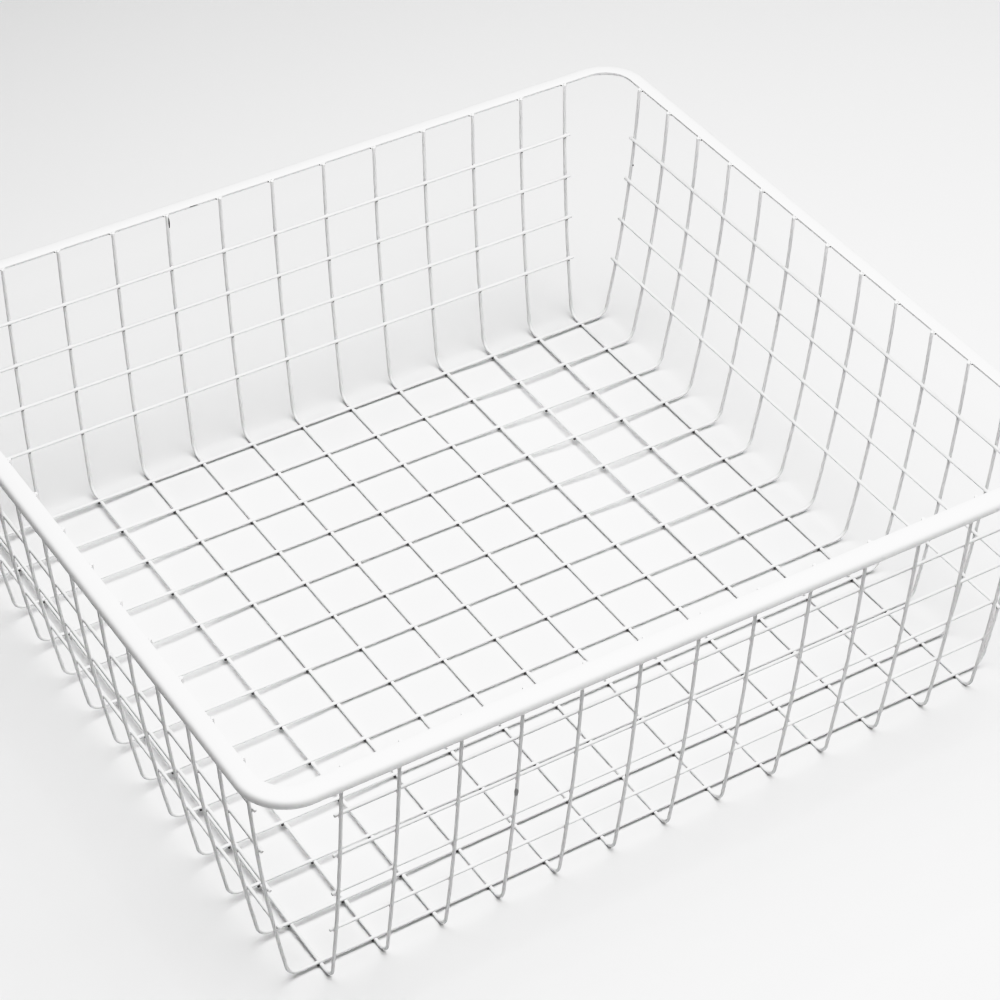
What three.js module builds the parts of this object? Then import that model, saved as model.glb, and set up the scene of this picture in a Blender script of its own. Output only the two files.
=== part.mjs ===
// Wire basket: two crossed rows of U-bent wires form the floor and the walls, four rods brace each wall
// on the inside, and a rolled sheet rim joins the wire ends. Everything is welded, so nothing moves.
// Millimetres, +Z up. The origin is on the ground under the middle of the rim; X runs along the width.
import * as THREE from "three";

// Overall sizes, measured over the rim
const basketWidth = 545;
const basketDepth = 500;
const basketHeight = 180;

// Rim: a flat strip whose outer edge is rolled under; the roll turns through so many degrees and stays open
const rimSheet = 1.2;
const rimTopWidth = 11;
const rimRollHeight = 8.4;
const rimRollTurn = 155;
const rimInnerRadius = 19;
const rimCornerSteps = 7;
const rimArcDivisions = 4;

// Wires and rods, powder coat included
const wireDiameter = 2.2;
const rodDiameter = 2.2;
const roundSides = 8;
const weldGap = 0.15;
const wireEndDrop = 0.3;

// Rows of U-bent wires: how many, how far the last one stands short of the rim's corner bend, and the space
// between the last two
const depthWireCount = 13;
const depthWireInset = 21.6;
const depthWireEndBay = 34.4;
const widthWireCount = 13;
const widthWireInset = 12.7;
const widthWireEndBay = 33.3;

// Walls: how far the foot stands in from the rim's inner edge, the outward bow, and the bend to the floor
const sideWallRun = 21.4;
const sideWallBow = 3.6;
const endWallRun = 18.7;
const endWallBow = 2.9;
const bendRadius = 9;
const bendSteps = 4;

// Rods: how many brace each wall, where the top and the lowest one cross it, and the length past the last wires
const rodCount = 4;
const topRodDrop = 38.8;
const lowestRodHeight = 46;
const rodOverhang = 3.3;

// Finish
const coatColour = 0xf3f3f1;
const coatRoughness = 0.38;

// Derived places
const innerHalfWidth = basketWidth / 2 - rimTopWidth;
const innerHalfDepth = basketDepth / 2 - rimTopWidth;
const cornerX = innerHalfWidth - rimInnerRadius;
const cornerY = innerHalfDepth - rimInnerRadius;
const depthRowEnd = cornerX - depthWireInset;
const widthRowEnd = cornerY - widthWireInset;
const wireEndHeight = basketHeight - wireEndDrop;
const wireEndInset = wireDiameter / 2 + weldGap;
const depthWireFloor = wireDiameter / 2;
const widthWireFloor = depthWireFloor + wireDiameter + weldGap;
const rodOffset = (wireDiameter + rodDiameter) / 2 + weldGap;

// The depth wires stand in the front and back walls, the width wires in the left and right walls
const endWall = {
  foot: innerHalfDepth - endWallRun,
  head: innerHalfDepth - wireEndInset,
  floor: depthWireFloor,
  bow: endWallBow,
};
const sideWall = {
  foot: innerHalfWidth - sideWallRun,
  head: innerHalfWidth - wireEndInset,
  floor: widthWireFloor,
  bow: sideWallBow,
};

const coat = new THREE.MeshStandardMaterial({ color: coatColour, roughness: coatRoughness, metalness: 0 });

// A centre line given as stations. An extrusion asks for evenly spaced places along its path, and this
// curve answers with one station for each step, so a straight run takes a single step.
class StationCurve extends THREE.Curve {
  constructor(stations) {
    super();
    this.stations = stations;
    this.steps = stations.length - 1;
  }

  stationAt(share) {
    return this.stations[Math.round(share * this.steps)];
  }

  getPoint(share, target = new THREE.Vector3()) {
    return target.copy(this.stationAt(share).point);
  }

  getPointAt(share, target) {
    return this.getPoint(share, target);
  }

  getTangentAt(share, target = new THREE.Vector3()) {
    return target.copy(this.stationAt(share).direction);
  }
}

// How far a wall wire's centre line reaches from the middle at a height: a straight lean and a parabolic bow
function wallReach(wall, height) {
  const rise = (height - wall.floor) / (wireEndHeight - wall.floor);
  return wall.foot + (wall.head - wall.foot) * rise + 4 * wall.bow * rise * (1 - rise);
}

// How much that reach grows for each millimetre of height
function wallSlope(wall, height) {
  const span = wireEndHeight - wall.floor;
  const rise = (height - wall.floor) / span;
  return (wall.head - wall.foot + 4 * wall.bow * (1 - 2 * rise)) / span;
}

// Heights at which rods cross the wall wires, evenly spaced from the top rod down
function rodHeights() {
  const top = basketHeight - topRodDrop;
  const pitch = (top - lowestRodHeight) / (rodCount - 1);
  return Array.from({ length: rodCount }, (_, index) => top - index * pitch);
}

// One half of a U wire from the floor outwards, as reach, height and direction: the bend is an arc that
// touches the floor run and the wall's foot, and the wall has a station at every rod and at its end
function halfWireStations(wall) {
  const turn = Math.atan2(1, wallSlope(wall, wall.floor));
  const bendStart = wall.foot - bendRadius * Math.tan(turn / 2);
  const stations = [];
  for (let step = 0; step <= bendSteps; step += 1) {
    const angle = (turn * step) / bendSteps;
    stations.push({
      reach: bendStart + bendRadius * Math.sin(angle),
      height: wall.floor + bendRadius * (1 - Math.cos(angle)),
      along: Math.cos(angle),
      up: Math.sin(angle),
    });
  }
  const wallHeights = [...rodHeights().reverse(), wireEndHeight];
  for (const height of wallHeights) {
    const lean = Math.atan(wallSlope(wall, height));
    stations.push({
      reach: wallReach(wall, height),
      height,
      along: Math.sin(lean),
      up: Math.cos(lean),
    });
  }
  return stations;
}

// A round section drawn with flat sides, one of them facing each way along the frame's axes
function roundSection(diameter) {
  const cornerRadius = diameter / 2 / Math.cos(Math.PI / roundSides);
  const corners = [];
  for (let side = 0; side < roundSides; side += 1) {
    const angle = ((side + 0.5) * 2 * Math.PI) / roundSides;
    corners.push(new THREE.Vector2(cornerRadius * Math.cos(angle), cornerRadius * Math.sin(angle)));
  }
  return new THREE.Shape(corners);
}

// A whole U wire in the plane of the given horizontal direction and Z: down one wall, across, up the other
function uWireGeometry(wall, outward) {
  const half = halfWireStations(wall);
  const place = (along, up) => outward.clone().multiplyScalar(along).setZ(up);
  const rising = half.map((station) => ({
    point: place(station.reach, station.height),
    direction: place(station.along, station.up),
  }));
  const falling = half.map((station) => ({
    point: place(-station.reach, station.height),
    direction: place(station.along, -station.up),
  }));
  const path = new StationCurve([...falling.reverse(), ...rising]);
  return new THREE.ExtrudeGeometry(roundSection(wireDiameter), { steps: path.steps, extrudePath: path });
}

// Places of a row of wires: one at each end of the row, and the rest evenly spaced between the two end bays
function rowPlaces(rowEnd, count, endBay) {
  const evenEnd = rowEnd - endBay;
  const evenCount = count - 2;
  const pitch = (2 * evenEnd) / (evenCount - 1);
  const even = Array.from({ length: evenCount }, (_, index) => index * pitch - evenEnd);
  return [-rowEnd, ...even, rowEnd];
}

function namedMesh(geometry, name) {
  const mesh = new THREE.Mesh(geometry, coat);
  mesh.name = name;
  return mesh;
}

function numbered(name, index) {
  return `${name}_${String(index + 1).padStart(2, "0")}`;
}

// Wires that run front to back: they lie on the ground and rise as the front and back walls
function depthWires() {
  const row = new THREE.Group();
  const geometry = uWireGeometry(endWall, new THREE.Vector3(0, 1, 0));
  rowPlaces(depthRowEnd, depthWireCount, depthWireEndBay).forEach((place, index) => {
    const wire = namedMesh(geometry, numbered("depth_wire", index));
    wire.position.x = place;
    row.add(wire);
  });
  return row;
}

// Wires that run left to right: they lie on the depth wires and rise as the left and right walls
function widthWires() {
  const row = new THREE.Group();
  const geometry = uWireGeometry(sideWall, new THREE.Vector3(1, 0, 0));
  rowPlaces(widthRowEnd, widthWireCount, widthWireEndBay).forEach((place, index) => {
    const wire = namedMesh(geometry, numbered("width_wire", index));
    wire.position.y = place;
    row.add(wire);
  });
  return row;
}

// The rods of one wall, welded to the inside of its wires and turned to lie flat on their lean.
// They are laid out for a wall that faces +X, and the group is turned to the wall's own side.
function wallRods(name, wall, rowEnd, facing) {
  const rods = new THREE.Group();
  const length = 2 * (rowEnd + rodOverhang);
  const cornerRadius = rodDiameter / 2 / Math.cos(Math.PI / roundSides);
  const geometry = new THREE.CylinderGeometry(cornerRadius, cornerRadius, length, roundSides);
  geometry.rotateY(Math.PI / roundSides);
  rodHeights().forEach((height, index) => {
    const lean = Math.atan(wallSlope(wall, height));
    const rod = namedMesh(geometry, numbered(name, index));
    rod.rotation.y = lean;
    rod.position.x = wallReach(wall, height) - rodOffset * Math.cos(lean);
    rod.position.z = height + rodOffset * Math.sin(lean);
    rods.add(rod);
  });
  rods.rotation.z = facing;
  return rods;
}

// The rim's section as outward and upward offsets from its inner top edge, anticlockwise
function rimSection() {
  const roll = rimRollHeight / 2;
  const rollCentre = rimTopWidth - roll;
  const rollEnd = Math.PI / 2 - THREE.MathUtils.degToRad(rimRollTurn);
  const section = new THREE.Path();
  section.moveTo(0, 0);
  section.lineTo(0, -rimSheet);
  section.lineTo(rollCentre, -rimSheet);
  section.absarc(rollCentre, -roll, roll - rimSheet, Math.PI / 2, rollEnd, true);
  section.absarc(rollCentre, -roll, roll, rollEnd, Math.PI / 2, false);
  return section.getPoints(rimArcDivisions);
}

// The rim: its section carried once round a rectangle with rounded corners, closed on itself
function rim() {
  const section = rimSection();
  const corners = [[1, 1], [-1, 1], [-1, -1], [1, -1]];
  const positions = [];
  corners.forEach(([sideX, sideY], quarter) => {
    for (let step = 0; step <= rimCornerSteps; step += 1) {
      const angle = ((quarter + step / rimCornerSteps) * Math.PI) / 2;
      for (const offset of section) {
        const radius = rimInnerRadius + offset.x;
        const x = sideX * cornerX + radius * Math.cos(angle);
        const y = sideY * cornerY + radius * Math.sin(angle);
        positions.push(x, y, basketHeight + offset.y);
      }
    }
  });
  const rings = corners.length * (rimCornerSteps + 1);
  const faces = [];
  for (let ring = 0; ring < rings; ring += 1) {
    const here = ring * section.length;
    const next = ((ring + 1) % rings) * section.length;
    for (let point = 0; point < section.length; point += 1) {
      const after = (point + 1) % section.length;
      faces.push(here + point, next + point, next + after);
      faces.push(here + point, next + after, here + after);
    }
  }
  const geometry = new THREE.BufferGeometry();
  geometry.setAttribute("position", new THREE.Float32BufferAttribute(positions, 3));
  geometry.setIndex(faces);
  geometry.computeVertexNormals();
  return namedMesh(geometry, "rim");
}

const basket = new THREE.Group();
basket.add(depthWires());
basket.add(widthWires());
basket.add(wallRods("right_rod", sideWall, widthRowEnd, 0));
basket.add(wallRods("back_rod", endWall, depthRowEnd, Math.PI / 2));
basket.add(wallRods("left_rod", sideWall, widthRowEnd, Math.PI));
basket.add(wallRods("front_rod", endWall, depthRowEnd, -Math.PI / 2));
basket.add(rim());

export default basket;
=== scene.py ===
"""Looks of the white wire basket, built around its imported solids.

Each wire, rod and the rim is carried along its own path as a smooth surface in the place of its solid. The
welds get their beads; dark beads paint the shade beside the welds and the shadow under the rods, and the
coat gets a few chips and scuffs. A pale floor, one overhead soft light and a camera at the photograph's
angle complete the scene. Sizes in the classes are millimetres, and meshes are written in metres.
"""

import logging
import math
from collections.abc import Iterable
from dataclasses import dataclass
from enum import Enum

import bpy
import numpy as np
from mathutils import Matrix, Vector


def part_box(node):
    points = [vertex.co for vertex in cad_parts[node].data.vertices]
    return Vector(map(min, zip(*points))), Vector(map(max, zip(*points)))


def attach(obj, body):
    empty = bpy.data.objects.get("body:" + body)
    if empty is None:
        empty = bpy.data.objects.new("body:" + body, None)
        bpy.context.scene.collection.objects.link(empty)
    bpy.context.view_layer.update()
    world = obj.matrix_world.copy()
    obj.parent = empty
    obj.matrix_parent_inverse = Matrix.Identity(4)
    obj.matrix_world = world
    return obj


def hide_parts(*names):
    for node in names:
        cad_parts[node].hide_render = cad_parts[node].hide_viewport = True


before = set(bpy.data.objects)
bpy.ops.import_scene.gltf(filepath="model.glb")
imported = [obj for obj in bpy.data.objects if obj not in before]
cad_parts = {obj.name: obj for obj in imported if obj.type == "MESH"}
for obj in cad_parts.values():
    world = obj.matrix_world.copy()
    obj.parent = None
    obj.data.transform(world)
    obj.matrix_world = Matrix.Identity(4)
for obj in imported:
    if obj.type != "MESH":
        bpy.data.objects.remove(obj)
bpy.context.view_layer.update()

MM = 0.001
BODY = "root"
WIRE_SLOT = "wire_coat"
RIM_SLOT = "rim_coat"

# Steps of the rounding at a bar's cut ends
EDGE_STEPS = 4

# Number of the tone curve that all three colours share
SHARED_CURVE = 3

# A place or a size along three axes
Triple = tuple[float, float, float]

log = logging.getLogger("wire_basket")


class Run(Enum):
    """Which way a wire or rod runs along the floor: the number of its axis in the frame."""

    WIDTH = 0
    DEPTH = 1

    @property
    def across(self) -> int:
        """Number of the level axis at right angles to the run."""
        return 1 - self.value


class Side(Enum):
    """A wall of the basket: the run of its wires, and the way that it faces along that run."""

    RIGHT = (Run.WIDTH, 1)
    BACK = (Run.DEPTH, 1)
    LEFT = (Run.WIDTH, -1)
    FRONT = (Run.DEPTH, -1)

    @property
    def run(self) -> Run:
        """Run of the wires that stand in this wall."""
        return self.value[0]

    @property
    def sign(self) -> int:
        """Plus one where the wall faces along its axis, and minus one where it faces back."""
        return self.value[1]

    def normal(self, lean: float) -> np.ndarray:
        """Unit direction out of the wall and down, where it leans out from the upright by an angle."""
        outward = np.zeros(3)
        outward[self.run.value] = self.sign * math.cos(lean)
        outward[2] = -math.sin(lean)
        return outward


def linear(colour: str) -> tuple[float, float, float, float]:
    """Turns an sRGB hex colour into Blender's linear colour.

    Args:
        colour: six hex digits after a hash.

    Returns:
        Red, green and blue as linear light, and an alpha of 1.
    """
    share = np.array([int(colour[start:start + 2], 16) for start in (1, 3, 5)]) / 255
    light = np.where(share <= 0.04045, share / 12.92, ((share + 0.055) / 1.055) ** 2.4)
    return (*light.tolist(), 1.0)


def add_node(tree: bpy.types.NodeTree, kind: str, inputs: dict | None = None, **settings) -> bpy.types.Node:
    """Adds one shader node with its settings and its links.

    Args:
        tree: node tree that gets the node.
        kind: Blender's type name of the node.
        inputs: for each input, by name or number, a value or the socket that feeds it.
        settings: attributes of the node, such as its operation.

    Returns:
        The new node.
    """
    made = tree.nodes.new(kind)
    for name, value in settings.items():
        setattr(made, name, value)
    for key, value in (inputs or {}).items():
        if isinstance(value, bpy.types.NodeSocket):
            tree.links.new(value, made.inputs[key])
        else:
            made.inputs[key].default_value = value
    return made


@dataclass
class Surface:
    """A mesh as whole arrays.

    Attributes:
        points: one row of three millimetre values for each point.
        quads: four point numbers for each four-sided face.
        triangles: three point numbers for each three-sided face.
    """

    points: np.ndarray
    quads: np.ndarray
    triangles: np.ndarray

    def to_object(self, name: str, material: bpy.types.Material) -> bpy.types.Object:
        """Makes the Blender object, smooth and at the origin.

        Args:
            name: name of the object and its mesh.
            material: finish of the whole piece.

        Returns:
            The object, linked to the scene.
        """
        mesh = bpy.data.meshes.new(name)
        corners = np.concatenate([self.quads.ravel(), self.triangles.ravel()])
        sizes = np.repeat([4, 3], [len(self.quads), len(self.triangles)])
        mesh.vertices.add(len(self.points))
        mesh.vertices.foreach_set("co", (self.points * MM).astype(np.float32).ravel())
        mesh.loops.add(len(corners))
        mesh.loops.foreach_set("vertex_index", corners.astype(np.int32))
        mesh.polygons.add(len(sizes))
        mesh.polygons.foreach_set("loop_start", (np.cumsum(sizes) - sizes).astype(np.int32))
        mesh.update(calc_edges=True)
        mesh.polygons.foreach_set("use_smooth", np.ones(len(sizes), dtype=bool))
        mesh.materials.append(material)
        made = bpy.data.objects.new(name, mesh)
        bpy.context.scene.collection.objects.link(made)
        return made


def grid_quads(rows: int, columns: int, closed: bool) -> np.ndarray:
    """Quads of a grid of points whose columns close into rings.

    Args:
        rows: rings along the path.
        columns: points in a ring.
        closed: whether the last ring joins the first.

    Returns:
        Point numbers of each quad, turned outwards when a ring runs clockwise as seen along the path.
    """
    row, column = np.meshgrid(np.arange(rows if closed else rows - 1), np.arange(columns), indexing="ij")
    here, ahead = row * columns, (row + 1) % rows * columns
    after = (column + 1) % columns
    return np.stack([here + column, here + after, ahead + after, ahead + column], axis=-1).reshape(-1, 4)


def fan(pole: int, ring: np.ndarray) -> np.ndarray:
    """Triangles between one point and each side of a closed ring, in the ring's order.

    Args:
        pole: number of the point.
        ring: numbers of the ring's points.

    Returns:
        Point numbers of each triangle.
    """
    return np.stack([np.full(len(ring), pole), ring, np.roll(ring, -1)], axis=1)


def capped(rings: np.ndarray, poles: np.ndarray) -> Surface:
    """Closed surface of rings along a path, with a fan to a point at either end.

    Args:
        rings: points by ring, place in the ring and axis, clockwise as seen along the path.
        poles: the two end points.

    Returns:
        The surface, with its faces turned outwards.
    """
    rows, columns = rings.shape[:2]
    numbers = np.arange(rows * columns).reshape(rows, columns)
    first, last = numbers.size, numbers.size + 1
    fans = np.concatenate([fan(first, numbers[0, ::-1]), fan(last, numbers[-1])])
    return Surface(np.concatenate([rings.reshape(-1, 3), poles]), grid_quads(rows, columns, False), fans)


def bar(path: np.ndarray, radius: float, edge: float, across: np.ndarray, sides: int) -> Surface:
    """A round bar along a path in one upright plane, with its cut ends rounded off.

    A ring's points are the path point plus the radius times cosine along the across direction and sine along
    the cross product of tangent and across. At both ends the rings go on along the tangent by the edge times
    sine, shrunk by the edge times one less cosine, and a point in the middle closes the flat that is left.

    Args:
        path: centre line, which stops one edge short of the bar's own ends.
        radius: half the bar's diameter.
        edge: radius of the rounding at the cut ends.
        across: unit direction square to the path's plane.
        sides: points in a ring.

    Returns:
        The closed surface.
    """
    step = np.gradient(path, axis=0)
    tangent = step / np.linalg.norm(step, axis=1, keepdims=True)
    turn = np.linspace(0, math.pi / 2, EDGE_STEPS + 1)[1:]
    lead = edge * np.sin(turn)[:, None]
    pinch = edge * (1 - np.cos(turn))
    centres = np.concatenate([path[:1] - lead[::-1] * tangent[:1], path, path[-1:] + lead * tangent[-1:]])
    ends = np.repeat(tangent, np.r_[EDGE_STEPS + 1, np.ones(len(path) - 2, int), EDGE_STEPS + 1], axis=0)
    radii = radius - np.concatenate([pinch[::-1], np.zeros(len(path)), pinch])
    angle = np.arange(sides) * 2 * math.pi / sides
    spoke = np.cos(angle)[:, None] * across + np.sin(angle)[:, None] * np.cross(ends, across)[:, None, :]
    rings = centres[:, None, :] + radii[:, None, None] * spoke
    return capped(rings, centres[[0, -1]])


def upright_points(
    run: Run, reach: np.ndarray, across: float | np.ndarray, height: float | np.ndarray,
) -> np.ndarray:
    """Points given by their places along and across a run, and by their height.

    Args:
        run: axis that the reach lies along.
        reach: place of each point along the run.
        across: place on the other level axis, of all points or of each.
        height: height of all points or of each.

    Returns:
        One row of x, y and z for each point.
    """
    points = np.empty((len(reach), 3))
    points[:, run.value] = reach
    points[:, run.across] = across
    points[:, 2] = height
    return points


def box_mm(node: str) -> tuple[np.ndarray, np.ndarray]:
    """Lowest and highest corner of a solid, in millimetres."""
    low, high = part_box(node)
    return np.array(low) / MM, np.array(high) / MM


def add_piece(surface: Surface, name: str, material: bpy.types.Material, slot: str, *nodes: str) -> None:
    """Adds a finished piece to the basket.

    Args:
        surface: its mesh.
        name: its name, which no solid has.
        material: its finish.
        slot: the record's slot of that finish; not used.
        nodes: solids that it stands for.
    """
    piece = surface.to_object(name, material)
    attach(piece, BODY)
    if nodes:
        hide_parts(*nodes)
    log.info("%s: %d points", name, len(surface.points))


@dataclass(frozen=True)
class Wall:
    """Side view of a wall wire's centre line: a straight lean with an outward parabolic bow.

    Attributes:
        foot: reach at the floor, before the bend is taken off.
        head: reach at the top.
        floor: height of the wire's run along the floor.
        top: height of the wire's end.
        bow: how far the middle stands out from the straight lean.
    """

    foot: float
    head: float
    floor: float
    top: float
    bow: float

    def reach(self, height: np.ndarray) -> np.ndarray:
        """Reach at a height: foot plus lean times rise, plus four bows times rise times one less rise."""
        rise = (height - self.floor) / (self.top - self.floor)
        return self.foot + (self.head - self.foot) * rise + 4 * self.bow * rise * (1 - rise)

    def lean(self, height: float) -> float:
        """Angle from the upright at a height, from the slope of the reach."""
        span = self.top - self.floor
        rise = (height - self.floor) / span
        return math.atan((self.head - self.foot + 4 * self.bow * (1 - 2 * rise)) / span)


@dataclass
class WireRow:
    """A row of wires bent to a U: along the floor and up two opposite walls.

    Attributes:
        run: axis that the wires run along.
        nodes: start of the solids' names.
        wall_run: how far the foot of the wall stands in from its head.
        bow: outward bow of the wall.
        set_down: how far the welds sink the row into the row that it lies on.
        bend_radius: radius of the centre line where the floor turns into the wall.
        edge: rounding of the cut ends under the coat.
        sides: points round the wire.
        floor_steps, bend_steps, wall_steps: stretches of half the floor run, of a bend and of a wall.
    """

    run: Run
    nodes: str
    wall_run: float
    bow: float
    set_down: float = 0.0
    bend_radius: float = 9.0
    edge: float = 0.6
    sides: int = 14
    floor_steps: int = 24
    bend_steps: int = 12
    wall_steps: int = 28

    def __post_init__(self) -> None:
        """Reads the row's places from its solids."""
        self.names = sorted(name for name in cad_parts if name.startswith(self.nodes))
        boxes = [box_mm(name) for name in self.names]
        low, high = boxes[0]
        across = self.run.across
        self.radius = float(high[across] - low[across]) / 2
        self.places = [float(low[across] + high[across]) / 2 for low, high in boxes]
        head = float(high[self.run.value]) - self.radius
        floor = float(low[2]) + self.radius - self.set_down
        self.wall = Wall(head - self.wall_run, head, floor, float(high[2]), self.bow)

    def centre_line(self, across: float) -> np.ndarray:
        """Centre line of one wire.

        The floor run is straight, the bend is an arc that touches it and the wall's foot, and the wall
        follows its bowed lean up to one edge below the top. The other half is the mirror image.

        Args:
            across: place of the wire in its row.

        Returns:
            Points from one end of the U to the other.
        """
        turn = math.pi / 2 - self.wall.lean(self.wall.floor)
        start = self.wall.foot - self.bend_radius * math.tan(turn / 2)
        angle = np.linspace(0, turn, self.bend_steps + 1)
        arc_reach = start + self.bend_radius * np.sin(angle)
        arc_height = self.wall.floor + self.bend_radius * (1 - np.cos(angle))
        floor_reach = np.linspace(0, start, self.floor_steps + 1)[1:-1]
        wall_height = np.linspace(arc_height[-1], self.wall.top - self.edge, self.wall_steps + 1)[1:]
        reach = np.concatenate([floor_reach, arc_reach, self.wall.reach(wall_height)])
        height = np.concatenate([np.full(len(floor_reach), self.wall.floor), arc_height, wall_height])
        both_reach = np.concatenate([-reach[::-1], [0], reach])
        both_height = np.concatenate([height[::-1], [self.wall.floor], height])
        return upright_points(self.run, both_reach, across, both_height)

    def build(self, coat: bpy.types.Material) -> None:
        """Adds every wire of the row.

        Args:
            coat: finish of the wires.
        """
        across = np.eye(3)[self.run.across]
        for name, place in zip(self.names, self.places):
            wire = bar(self.centre_line(place), self.radius, self.edge, across, self.sides)
            add_piece(wire, f"coated_{name}", coat, WIRE_SLOT, name)


@dataclass
class WallRods:
    """The level rods on the inside of one wall.

    Attributes:
        side: the wall.
        row: wires that stand in the wall.
        set_in: how far the welds sink a rod into those wires.
        diameter: coated diameter of a rod.
        edge: rounding of the cut ends under the coat.
        sides: points round the rod.
        steps: stretches along the rod.
    """

    side: Side
    row: WireRow
    set_in: float = 0.7
    diameter: float = 2.2
    edge: float = 0.6
    sides: int = 14
    steps: int = 40

    def __post_init__(self) -> None:
        """Reads the rods' places from their solids."""
        start = f"{self.side.name.lower()}_rod"
        self.names = sorted(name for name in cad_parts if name.startswith(start))
        boxes = [box_mm(name) for name in self.names]
        middles = [(low + high) / 2 for low, high in boxes]
        self.normals = [self.side.normal(self.row.wall.lean(float(middle[2]))) for middle in middles]
        self.centres = [middle + self.set_in * normal for middle, normal in zip(middles, self.normals)]
        self.reach = float(boxes[0][1][self.side.run.across])

    def build(self, coat: bpy.types.Material) -> None:
        """Adds every rod of the wall.

        Args:
            coat: finish of the rods.
        """
        across = np.eye(3)[self.side.run.value]
        level = np.linspace(self.edge - self.reach, self.reach - self.edge, self.steps + 1)
        for name, centre in zip(self.names, self.centres):
            path = np.repeat(centre[None, :], len(level), axis=0)
            path[:, self.side.run.across] = level
            rod = bar(path, self.diameter / 2, self.edge, across, self.sides)
            add_piece(rod, f"coated_{name}", coat, WIRE_SLOT, name)


@dataclass
class RolledRim:
    """The sheet rim: a slightly crowned strip whose outer edge is rolled under and left open.

    Attributes:
        node: the solid's name.
        sheet: thickness of the coated sheet.
        top_width: width over the strip and its roll.
        roll_radius: outer radius of the roll.
        crown: slope of the strip's top at its inner edge and where the roll starts, in degrees.
        roll_end: angle of the roll's end below the level, in degrees.
        squareness: power that squares off the cut inner edge, where 1 leaves it round.
        inner_radius: corner radius of the inner edge.
        crown_steps, roll_steps, edge_steps: stretches of the strip's top, the roll and a cut edge.
        corner_steps, side_steps: stretches of a corner and of a straight side.
    """

    node: str = "rim"
    sheet: float = 1.9
    top_width: float = 11.0
    roll_radius: float = 3.9
    crown: tuple[float, float] = (-3.0, 14.0)
    roll_end: float = 50.0
    squareness: float = 0.3
    inner_radius: float = 19.0
    crown_steps: int = 8
    roll_steps: int = 22
    edge_steps: int = 12
    corner_steps: int = 22
    side_steps: int = 16

    def __post_init__(self) -> None:
        """Reads the rim's outer corner from its solid."""
        self.corner = box_mm(self.node)[1]
        self.inner = self.corner[:2] - self.top_width

    def section(self) -> np.ndarray:
        """Outline of the strip, clockwise, as outward and upward offsets from the inner top edge.

        The middle of the sheet follows two arcs that touch: a wide one for the crown, whose radius is its
        width over the difference of its end slopes' sines, and the roll. The outline is that line moved
        half a sheet to either side. A half circle closes the roll's edge, and a squared half circle the
        inner one.

        Returns:
            One row of two offsets for each point.
        """
        half = self.sheet / 2
        inner, start = (math.radians(angle) for angle in self.crown)
        end = -math.radians(self.roll_end)
        width = self.top_width - self.roll_radius * (1 - math.sin(start))
        radius = width / (math.sin(start) - math.sin(inner))
        tilt = np.linspace(inner, start, self.crown_steps + 1)[:-1]
        roll = np.linspace(math.pi / 2 - start, end, self.roll_steps + 1)
        facing = np.concatenate([math.pi / 2 - tilt, roll])
        normal = np.stack([np.cos(facing), np.sin(facing)], axis=1)
        crown_centre = np.array([-radius * math.sin(inner), -radius])
        roll_way = np.array([math.sin(start), math.cos(start)])
        roll_centre = crown_centre + (radius - self.roll_radius) * roll_way
        centres = np.repeat([crown_centre, roll_centre], [len(tilt), len(roll)], axis=0)
        reach = np.repeat([radius, self.roll_radius], [len(tilt), len(roll)])[:, None]
        middle = centres + (reach - half) * normal
        middle[0, 0] += half
        half_turn = np.linspace(0, math.pi, self.edge_steps + 1)[1:-1]
        roll_edge = np.stack([np.cos(end - half_turn), np.sin(end - half_turn)], axis=1)
        inner_edge = np.stack([-np.sin(half_turn), -np.cos(half_turn)], axis=1)
        inner_edge = np.sign(inner_edge) * np.abs(inner_edge) ** self.squareness
        return np.concatenate([
            middle + half * normal,
            middle[-1] + half * roll_edge,
            (middle - half * normal)[::-1],
            middle[0] + half * inner_edge,
        ])

    def plan(self) -> tuple[np.ndarray, np.ndarray]:
        """Inner edge of the rim, seen from above: a rectangle with round corners, anticlockwise.

        Returns:
            The edge's points, and the unit direction outwards at each.
        """
        centre = self.inner - self.inner_radius
        turn = np.linspace(0, math.pi / 2, self.corner_steps + 1)
        share = np.linspace(0, 1, self.side_steps + 1)[1:-1, None]
        points, outwards = [], []
        for quarter, (side_x, side_y) in enumerate(((1, 1), (-1, 1), (-1, -1), (1, -1))):
            angle = turn + quarter * math.pi / 2
            outward = np.stack([np.cos(angle), np.sin(angle)], axis=1)
            arc = centre * (side_x, side_y) + self.inner_radius * outward
            after = centre * ((side_x, -side_y) if side_x == -side_y else (-side_x, side_y))
            following = after + self.inner_radius * outward[-1]
            points += [arc, arc[-1] + (following - arc[-1]) * share]
            outwards += [outward, np.repeat(outward[-1:], len(share), axis=0)]
        return np.concatenate(points), np.concatenate(outwards)

    def build(self, coat: bpy.types.Material) -> None:
        """Adds the rim: its section carried once round the plan.

        Args:
            coat: finish of the rim.
        """
        section = self.section()
        edge, outward = self.plan()
        level = edge[:, None, :] + outward[:, None, :] * section[None, :, :1]
        height = np.broadcast_to(self.corner[2] + section[None, :, 1:], (len(edge), len(section), 1))
        points = np.concatenate([level, height], axis=2).reshape(-1, 3)
        faces = grid_quads(len(edge), len(section), True)
        add_piece(Surface(points, faces, np.empty((0, 3), int)), "rolled_rim", coat, RIM_SLOT, self.node)


@dataclass(frozen=True)
class Chip:
    """A place where the coat is chipped or scuffed, on a wall wire or on the rim beside it.

    Attributes:
        run: run of the wire.
        number: number of the wire in its row, from 0.
        sign: which of its two walls, as the sign of the wall's way along the run.
        height: height of the place's middle.
        shift: how far that middle lies from the wire's centre line, along x and y.
        half: half sizes of the place along x, y and the wire.
    """

    run: Run
    number: int
    sign: int
    height: float
    shift: tuple[float, float]
    half: Triple


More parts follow.
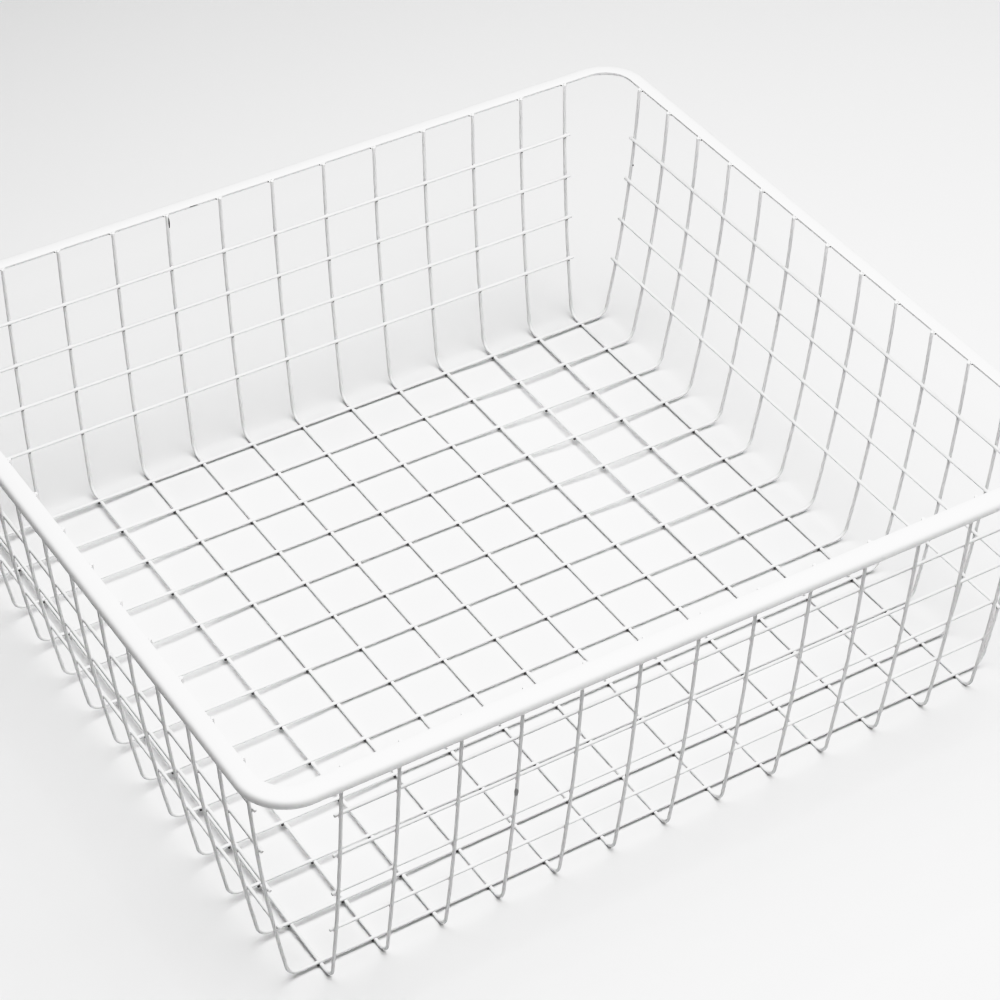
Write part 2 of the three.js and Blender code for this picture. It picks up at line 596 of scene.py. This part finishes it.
# A grey scuff half way up a front wire, and a faint smudge on the back rim
SCUFFS = (
    Chip(Run.DEPTH, 3, -1, 99.0, (-0.06, -0.06), (1.21, 1.21, 9.0)),
    Chip(Run.DEPTH, 4, 1, 179.2, (19.6, 1.25), (3.2, 0.15, 0.5)),
)

# Chips down to the scale: under the rim on a back wire, and on the last wire of the right wall
CHIPS = (
    Chip(Run.DEPTH, 4, 1, 174.0, (0.82, -0.6), (0.55, 0.55, 4.2)),
    Chip(Run.WIDTH, 12, 1, 121.0, (0.5, -0.9), (0.5, 0.5, 0.8)),
)


@dataclass
class Welds:
    """Beads of the resistance welds, rounded over by the coat, and dark beads that paint the shade beside
    them and the shadow under the rods.

    Attributes:
        spread: half the width of a bead where two wires cross, along either wire.
        depth: half the thickness of that bead, between the wires.
        nook_half: half sizes of the dark bead of painted shade in the nook beside a floor crossing, along x,
            y and z.
        nook_place: its middle, from the crossing of the two centre lines and from the ground.
        rod_shadow_half: half sizes of the grey bead of painted shadow under a rod on a wall wire: along the
            rod, up and out.
        rod_shadow_place: its middle, from the rod's middle at the wire, in the same order.
        rim_shade_half: half sizes of the dark bead of painted shade beside a wire's end: along the rim, out
            and up.
        rim_shade_place: its middle, from the wire's middle at the rim's top inner edge, in the same order.
        rim_half: half sizes of a bead beside a wire's end: along the rim, out and up.
        rim_offset: how far that bead's middle lies from the wire's middle, along the rim.
        rim_sink: how far its middle lies under the rim's top.
        meridians: points in a ring of a bead.
        parallels: rings of a bead between its poles.
    """

    spread: float = 1.3
    depth: float = 0.7
    # Dark and grey beads that paint shade and shadow beside the welds
    nook_half: Triple = (0.8, 0.8, 0.65)
    nook_place: Triple = (-1.5, -0.6, 0.7)
    rod_shadow_half: Triple = (1.0, 1.0, 0.6)
    rod_shadow_place: Triple = (0.0, -1.6, 0.8)
    rim_shade_half: Triple = (0.75, 0.5, 0.55)
    rim_shade_place: Triple = (-1.5, -0.1, -1.15)
    rim_half: Triple = (0.9, 0.8, 1.0)
    rim_offset: float = 1.3
    rim_sink: float = 1.2
    meridians: int = 8
    parallels: int = 3

    def ball(self) -> Surface:
        """A ball of radius 1: longitude by latitude, with a point at either pole."""
        latitude = np.linspace(-math.pi / 2, math.pi / 2, self.parallels + 2)[1:-1]
        longitude = np.arange(self.meridians) * 2 * math.pi / self.meridians
        level = np.cos(latitude)[:, None]
        rings = np.stack([
            level * np.cos(longitude),
            level * np.sin(longitude),
            np.repeat(np.sin(latitude)[:, None], self.meridians, axis=1),
        ], axis=-1)
        return capped(rings, np.array([[0, 0, -1.0], [0, 0, 1.0]]))

    def beads(self, centres: np.ndarray, axes: np.ndarray) -> Surface:
        """Copies of the ball, each drawn out to its own three half axes.

        Args:
            centres: middle of each bead.
            axes: for each bead, its three half axes as rows.

        Returns:
            All the beads as one surface.
        """
        ball = self.ball()
        points = centres[:, None, :] + np.einsum("pk,bkc->bpc", ball.points, axes)
        start = (np.arange(len(centres)) * len(ball.points))[:, None, None]
        return Surface(
            points.reshape(-1, 3),
            (ball.quads[None] + start).reshape(-1, 4),
            (ball.triangles[None] + start).reshape(-1, 3),
        )

    def on_floor(self, lower: WireRow, upper: WireRow, half: Triple, place: Triple) -> Surface:
        """A bead at every crossing of the two rows on the floor.

        Args:
            lower: row that lies on the ground.
            upper: row that lies on it.
            half: half sizes along x, y and z.
            place: middle, from the crossing of the two centre lines and from the ground.

        Returns:
            The beads.
        """
        x, y = np.meshgrid(lower.places, upper.places, indexing="ij")
        centres = np.stack([x.ravel(), y.ravel(), np.zeros(x.size)], axis=1) + place
        return self.beads(centres, np.repeat(np.diag(half)[None], len(centres), axis=0))

    def on_wall(self, rods: WallRods, half: Triple, place: Triple) -> Surface:
        """A bead at every crossing of a wall's rods with its wires, turned with the wall's lean.

        Args:
            rods: the wall's rods.
            half: half sizes along the rod, up and out.
            place: middle, from the rod's middle at the wire, in the same order.

        Returns:
            The beads.
        """
        run, places = rods.side.run, np.array(rods.row.places)
        along = np.eye(3)[run.across]
        centres, axes = [], []
        for rod, normal in zip(rods.centres, rods.normals):
            upward = np.cross(normal, along)
            upward *= np.sign(upward[2])
            directions = np.stack([along, upward, normal])
            middle = np.repeat((rod + place @ directions)[None], len(places), axis=0)
            middle[:, run.across] += places - rod[run.across]
            turned = np.array(half)[:, None] * directions
            turned *= np.sign(np.linalg.det(turned))
            centres.append(middle)
            axes.append(np.repeat(turned[None], len(middle), axis=0))
        return self.beads(np.concatenate(centres), np.concatenate(axes))

    def at_rim(self, rim: RolledRim, rows: Iterable[WireRow], half: Triple, *places: Triple) -> Surface:
        """Beads beside every wire's end, where it meets the rim's inner edge.

        Args:
            rim: the rim.
            rows: both rows of wires.
            half: half sizes along the rim, out and up.
            places: middles beside an end, from the wire's middle at the rim's top inner edge, likewise.

        Returns:
            The beads.
        """
        centres, axes = [], []
        for row in rows:
            sizes = np.empty(3)
            sizes[row.run.across], sizes[row.run.value], sizes[2] = half
            for aside, outward, rise in places:
                across = np.array(row.places) + aside
                reach = np.full(len(across), rim.inner[row.run.value] + outward)
                for sign in (-1, 1):
                    centres.append(upright_points(row.run, sign * reach, across, rim.corner[2] + rise))
                    axes.append(np.repeat(np.diag(sizes)[None], len(across), axis=0))
        return self.beads(np.concatenate(centres), np.concatenate(axes))

    def floor(self, lower: WireRow, upper: WireRow) -> Surface:
        """Welds of the floor, half way between the top of the lower row and the bottom of the upper one."""
        height = (lower.wall.floor + lower.radius + upper.wall.floor - upper.radius) / 2
        return self.on_floor(lower, upper, (self.spread, self.spread, self.depth), (0.0, 0.0, height))

    def nooks(self, lower: WireRow, upper: WireRow) -> Surface:
        """Dark beads of painted shade in the nook under each floor crossing."""
        return self.on_floor(lower, upper, self.nook_half, self.nook_place)

    def wall(self, rods: WallRods) -> Surface:
        """Welds of a wall's rods, where rod and wire meet."""
        outward = (rods.diameter - rods.set_in) / 2
        return self.on_wall(rods, (self.spread, self.spread, self.depth), (0.0, 0.0, outward))

    def rod_painted_shadows(self, rods: WallRods) -> Surface:
        """Grey beads of painted shadow under each rod where it crosses a wire of its wall."""
        return self.on_wall(rods, self.rod_shadow_half, self.rod_shadow_place)

    def rim(self, rim: RolledRim, rows: Iterable[WireRow]) -> Surface:
        """Welds on both sides of each wire's end."""
        sides = ((sign * self.rim_offset, 0.0, -self.rim_sink) for sign in (-1, 1))
        return self.at_rim(rim, rows, self.rim_half, *sides)

    def rim_painted_shade(self, rim: RolledRim, rows: Iterable[WireRow]) -> Surface:
        """Dark beads of painted shade on one side of each wire's end, under the rim's inner edge."""
        return self.at_rim(rim, rows, self.rim_shade_half, self.rim_shade_place)

    def chips(self, rows: dict[Run, WireRow], chips: tuple[Chip, ...]) -> Surface:
        """The places where the coat is chipped or scuffed, each drawn out along its wire.

        Args:
            rows: both rows of wires, by their runs.
            chips: the places.

        Returns:
            A bead for each place.
        """
        centres, axes = [], []
        for chip in chips:
            row = rows[chip.run]
            reach = chip.sign * row.wall.reach(np.array([chip.height]))
            middle = upright_points(chip.run, reach, row.places[chip.number], chip.height)[0]
            centres.append(middle + (*chip.shift, 0))
            lean = chip.sign * row.wall.lean(chip.height)
            upward = upright_points(chip.run, np.array([math.sin(lean)]), 0.0, math.cos(lean))[0]
            axes.append(np.array([*np.eye(3)[:2], upward]) * np.array(chip.half)[:, None])
        return self.beads(np.array(centres), np.array(axes))


@dataclass(frozen=True)
class PowderCoat:
    """White polyester powder coat, sprayed on steel and baked.

    The melted powder gives the eye a closed satin film, soft at every edge, with a faint orange peel and a
    tone that drifts a little with the film's thickness.

    Attributes:
        name: name of the material.
        colour: the film where it is thick.
        thin_colour: the film where it is thin.
        roughness: roughness of the smooth film.
        dull_roughness: roughness where it has been handled.
        ior: index of the polyester.
        peel: spacing of the orange peel.
        peel_depth: height of the orange peel.
        peel_detail: finer layers of the peel, and the share that each keeps of the one before.
        drift: spacing of the drifts in tone.
        drift_detail: the same two values for the drifts.
        dull_range: drift where the film starts to dull, and where it is dullest.
    """

    name: str
    colour: str = "#f6f6f6"
    thin_colour: str = "#f1f1f1"
    roughness: float = 0.34
    dull_roughness: float = 0.46
    ior: float = 1.5
    peel: float = 1.6
    peel_depth: float = 0.004
    peel_detail: tuple[float, float] = (1.0, 0.4)
    drift: float = 40.0
    drift_detail: tuple[float, float] = (3.0, 0.55)
    dull_range: tuple[float, float] = (0.3, 0.7)

    def material(self) -> bpy.types.Material:
        """Builds the material: drift in tone and roughness, and the peel as a bump."""
        made = bpy.data.materials.new(self.name)
        made.use_nodes = True
        tree = made.node_tree
        tree.nodes.clear()
        place = add_node(tree, "ShaderNodeTexCoord").outputs["Object"]
        detail, keep = self.drift_detail
        drift = add_node(tree, "ShaderNodeTexNoise", {
            "Vector": place, "Scale": 1 / (self.drift * MM), "Detail": detail, "Roughness": keep,
        }).outputs["Fac"]
        tone = add_node(tree, "ShaderNodeMix", {
            "Factor": drift, "A": linear(self.colour), "B": linear(self.thin_colour),
        }, data_type="RGBA")
        start, end = self.dull_range
        dullness = add_node(tree, "ShaderNodeMapRange", {
            "Value": drift, "From Min": start, "From Max": end,
            "To Min": self.roughness, "To Max": self.dull_roughness,
        }).outputs["Result"]
        detail, keep = self.peel_detail
        peel = add_node(tree, "ShaderNodeTexNoise", {
            "Vector": place, "Scale": 1 / (self.peel * MM), "Detail": detail, "Roughness": keep,
        }).outputs["Fac"]
        bump = add_node(tree, "ShaderNodeBump", {
            "Height": peel, "Strength": 1.0, "Distance": self.peel_depth * MM,
        }).outputs["Normal"]
        shader = add_node(tree, "ShaderNodeBsdfPrincipled", {
            "Base Color": tone.outputs["Result"], "Roughness": dullness, "IOR": self.ior, "Normal": bump,
        })
        add_node(tree, "ShaderNodeOutputMaterial", {"Surface": shader.outputs["BSDF"]})
        return made


@dataclass(frozen=True)
class StudioPaper:
    """Matt white background paper: dead flat to the eye, with a barely visible cloud in its tone.

    Attributes:
        name: name of the material.
        colour: the paper between the clouds.
        cloud_colour: the paper where a cloud is densest.
        roughness: roughness of the paper.
        shine: level of its mirror reflection.
        cloud: spacing of the clouds.
    """

    name: str = "background_paper"
    colour: str = "#ededed"
    cloud_colour: str = "#eaeaea"
    roughness: float = 0.9
    shine: float = 0.0
    cloud: float = 600.0

    def material(self) -> bpy.types.Material:
        """Builds the material: a cloud of noise between the two tones, and no shine."""
        made = bpy.data.materials.new(self.name)
        made.use_nodes = True
        tree = made.node_tree
        tree.nodes.clear()
        place = add_node(tree, "ShaderNodeTexCoord").outputs["Object"]
        cloud = add_node(tree, "ShaderNodeTexNoise", {"Vector": place, "Scale": 1 / (self.cloud * MM)})
        tone = add_node(tree, "ShaderNodeMix", {
            "Factor": cloud.outputs["Fac"], "A": linear(self.colour), "B": linear(self.cloud_colour),
        }, data_type="RGBA")
        shader = add_node(tree, "ShaderNodeBsdfPrincipled", {
            "Base Color": tone.outputs["Result"],
            "Roughness": self.roughness,
            "Specular IOR Level": self.shine,
        })
        add_node(tree, "ShaderNodeOutputMaterial", {"Surface": shader.outputs["BSDF"]})
        return made


@dataclass(frozen=True)
class Hollow:
    """A shallow, bell-shaped hollow in the background paper.

    Attributes:
        centre: middle of the hollow on the floor.
        spread: distance along x and y where 37 percent of the depth is left.
        depth: depth at the middle, where less than 0 is a swell.
    """

    centre: tuple[float, float]
    spread: tuple[float, float]
    depth: float


@dataclass
class Studio:
    """The pale floor that sweeps up on all sides, the overhead soft light and the dim room.

    Attributes:
        flat_radius: radius of the level floor.
        sweep_radius: radius of the curve that turns the floor into the backdrop.
        backdrop_height: height of the backdrop.
        edge_place: where the paper starts to fall away from the basket's floor, to the left along x and to
            the back along y.
        edge_spread: how far from that edge, along x and along y, half of the drop is reached.
        edge_drop: how far it falls in the distance.
        hollows: where the paper lies a little lower or higher under the basket's floor.
        light_place: middle of the soft light.
        light_size: width and depth of the soft light.
        light_power: its power in watts.
        room_colour: colour of the dim room.
        room_strength: brightness of the dim room.
        tone_white: scene brightness at the right end of the tone curve.
        tone_points: places on the tone curve between its ends, as shares of that brightness and as output.
        turns: points in a ring of the floor.
        flat_rings, sweep_steps, wall_steps: rings of the level floor, the curve and the backdrop.
    """

    flat_radius: float = 4500.0
    sweep_radius: float = 1800.0
    backdrop_height: float = 3500.0
    edge_place: tuple[float, float] = (-102.0, -228.0)
    edge_spread: tuple[float, float] = (40.0, 50.0)
    edge_drop: float = 3.6
    hollows: tuple[Hollow, ...] = (
        Hollow((0.0, 0.0), (500.0, 400.0), 0.35),
        Hollow((160.0, 110.0), (46.0, 110.0), 3.5),
        Hollow((0.0, -205.0), (260.0, 45.0), -0.55),
    )
    light_place: Triple = (230.0, -350.0, 1880.0)
    light_size: tuple[float, float] = (2500.0, 2500.0)
    light_power: float = 66.5
    room_colour: str = "#d8d8d8"
    room_strength: float = 0.02
    tone_white: float = 1.6
    tone_points: tuple[tuple[float, float], ...] = (
        (0.27, 0.26), (0.38, 0.508), (0.44, 0.653), (0.5, 0.78), (0.58, 0.888), (0.66, 0.941), (0.8, 0.97),
        (0.88, 0.988),
    )
    turns: int = 96
    flat_rings: int = 140
    sweep_steps: int = 12
    wall_steps: int = 3

    def floor(self) -> None:
        """Adds the floor: a profile of flat, quarter arc and wall, turned about the upright axis.

        The rings of the flat grow with the square of their number. To the left and the back of its edge the
        paper falls away by the drop times q over one plus q for either way, where q is the squared distance
        from the edge in spreads. Each hollow takes off its depth times the exponential of minus the squared
        distance from its middle in spreads.
        """
        paper = StudioPaper().material()
        flat = self.flat_radius * (np.arange(1, self.flat_rings) / self.flat_rings) ** 2
        angle = np.linspace(0, math.pi / 2, self.sweep_steps + 1)
        wall = np.linspace(self.sweep_radius, self.backdrop_height, self.wall_steps + 1)[1:]
        radius = np.concatenate([
            flat,
            self.flat_radius + self.sweep_radius * np.sin(angle),
            np.full(len(wall), self.flat_radius + self.sweep_radius),
        ])
        height = np.concatenate([np.zeros(len(flat)), self.sweep_radius * (1 - np.cos(angle)), wall])
        turn = np.arange(self.turns) * 2 * math.pi / self.turns
        points = np.stack([
            radius[:, None] * np.cos(turn),
            radius[:, None] * np.sin(turn),
            np.repeat(height[:, None], self.turns, axis=1),
        ], axis=-1).reshape(-1, 3)
        middle = fan(len(points), np.arange(self.turns))
        points = np.concatenate([points, np.zeros((1, 3))])
        past_edge = np.maximum(0, (points[:, :2] - self.edge_place) * (-1, 1))
        distance = (past_edge / self.edge_spread) ** 2
        points[:, 2] -= self.edge_drop * np.prod(distance / (1 + distance), axis=1)
        for hollow in self.hollows:
            inside = ((points[:, :2] - hollow.centre) / hollow.spread) ** 2
            points[:, 2] -= hollow.depth * np.exp(-inside.sum(axis=1))
        quads = grid_quads(len(radius), self.turns, False)[:, ::-1]
        Surface(points, quads, middle).to_object("studio_floor", paper)

    def light(self) -> None:
        """Adds the soft light, level and facing down."""
        data = bpy.data.lights.new("overhead_softbox", "AREA")
        data.shape = "RECTANGLE"
        data.size, data.size_y = (size * MM for size in self.light_size)
        data.energy = self.light_power
        softbox = bpy.data.objects.new("overhead_softbox", data)
        softbox.location = Vector(self.light_place) * MM
        softbox.visible_camera = False
        bpy.context.scene.collection.objects.link(softbox)

    def room(self) -> None:
        """Sets the dim light of the room."""
        world = bpy.data.worlds.new("dim_room")
        world.use_nodes = True
        background = world.node_tree.nodes["Background"]
        background.inputs["Color"].default_value = linear(self.room_colour)
        background.inputs["Strength"].default_value = self.room_strength
        bpy.context.scene.world = world

    def tone(self) -> None:
        """Sets a film-like tone curve: darker middle tones and highlights that roll off short of white."""
        view = bpy.context.scene.view_settings
        view.view_transform = "Standard"
        view.use_curve_mapping = True
        mapping = view.curve_mapping
        mapping.white_level = (self.tone_white, self.tone_white, self.tone_white)
        for brightness, output in self.tone_points:
            mapping.curves[SHARED_CURVE].points.new(brightness, output)
        mapping.update()

    def build(self) -> None:
        """Adds the floor, the light and the room, and sets the tone curve."""
        self.floor()
        self.light()
        self.room()
        self.tone()


@dataclass
class PhotoCamera:
    """The camera at the photograph's viewing angle.

    Attributes:
        lens: focal length on a sensor of the given width.
        sensor: width of the sensor.
        aim: point on the camera's axis.
        azimuth: way that it looks, in degrees, where 0 looks along +Y.
        elevation: how steeply it looks down, in degrees.
        roll: how far it is tilted about its own axis, in degrees.
        distance: distance from the aim.
    """

    lens: float = 109.629
    sensor: float = 36.0
    aim: Triple = (14.65, -13.65, 90.0)
    azimuth: float = -32.6128
    elevation: float = 40.0182
    roll: float = 0.9588
    distance: float = 1829.78

    def build(self) -> None:
        """Adds the camera and makes it the scene's."""
        azimuth, elevation, roll = (math.radians(x) for x in (self.azimuth, self.elevation, self.roll))
        back = Vector((
            math.sin(azimuth) * math.cos(elevation),
            -math.cos(azimuth) * math.cos(elevation),
            math.sin(elevation),
        ))
        level = Vector((math.cos(azimuth), math.sin(azimuth), 0))
        plumb = back.cross(level)
        right = math.cos(roll) * level + math.sin(roll) * plumb
        upward = math.cos(roll) * plumb - math.sin(roll) * level
        place = (Vector(self.aim) + back * self.distance) * MM
        data = bpy.data.cameras.new("photo_camera")
        data.lens = self.lens
        data.sensor_width = self.sensor
        camera = bpy.data.objects.new("photo_camera", data)
        camera.matrix_world = Matrix((right, upward, back)).transposed().to_4x4()
        camera.location = place
        bpy.context.scene.collection.objects.link(camera)
        bpy.context.scene.camera = camera


def main() -> None:
    """Builds the camera, the studio and every piece of the basket, in that order."""
    logging.basicConfig(level=logging.INFO, format="%(name)s: %(message)s")
    PhotoCamera().build()
    Studio().build()
    wire_coat = PowderCoat("powder_coat_on_wire").material()
    rim_coat = PowderCoat("powder_coat_on_sheet").material()
    # Dark coat that paints the shade beside the welds, and also colours the real chips
    painted_shade_and_chip_coat = PowderCoat(
        "painted_nook_shade_and_chip_coat", colour="#484848", thin_colour="#3c3c3c", roughness=0.6, dull_roughness=0.8,
    ).material()
    # Grey coat of the real scuffs, also used to paint the shadow under each rod
    painted_shadow_and_scuff_coat = PowderCoat("painted_rod_shadow_and_scuff_coat", colour="#bebebe", thin_colour="#b4b4b4").material()
    depth_row = WireRow(Run.DEPTH, "depth_wire", wall_run=17.45, bow=2.9)
    width_row = WireRow(Run.WIDTH, "width_wire", wall_run=20.15, bow=3.6, set_down=1.2)
    rows = {row.run: row for row in (depth_row, width_row)}
    rim = RolledRim()
    welds = Welds()
    for row in rows.values():
        row.build(wire_coat)
    for side in Side:
        rods = WallRods(side, rows[side.run])
        rods.build(wire_coat)
        add_piece(welds.wall(rods), f"{side.name.lower()}_wall_welds", wire_coat, WIRE_SLOT)
        # Grey beads of painted shadow under each rod
        add_piece(welds.rod_painted_shadows(rods), f"{side.name.lower()}_wall_painted_rod_shadows", painted_shadow_and_scuff_coat, WIRE_SLOT)
    rim.build(rim_coat)
    add_piece(welds.floor(depth_row, width_row), "floor_welds", wire_coat, WIRE_SLOT)
    # Dark beads of painted shade in the nook beside each floor crossing
    add_piece(welds.nooks(depth_row, width_row), "floor_weld_painted_shade", painted_shade_and_chip_coat, WIRE_SLOT)
    add_piece(welds.rim(rim, rows.values()), "rim_welds", rim_coat, RIM_SLOT)
    # Dark beads of painted shade beside each wire's end under the rim
    add_piece(welds.rim_painted_shade(rim, rows.values()), "rim_weld_painted_shade", painted_shade_and_chip_coat, WIRE_SLOT)
    add_piece(welds.chips(rows, CHIPS), "coat_chips", painted_shade_and_chip_coat, WIRE_SLOT)
    add_piece(welds.chips(rows, SCUFFS), "coat_scuffs", painted_shadow_and_scuff_coat, WIRE_SLOT)


if __name__ == "__main__":
    main()
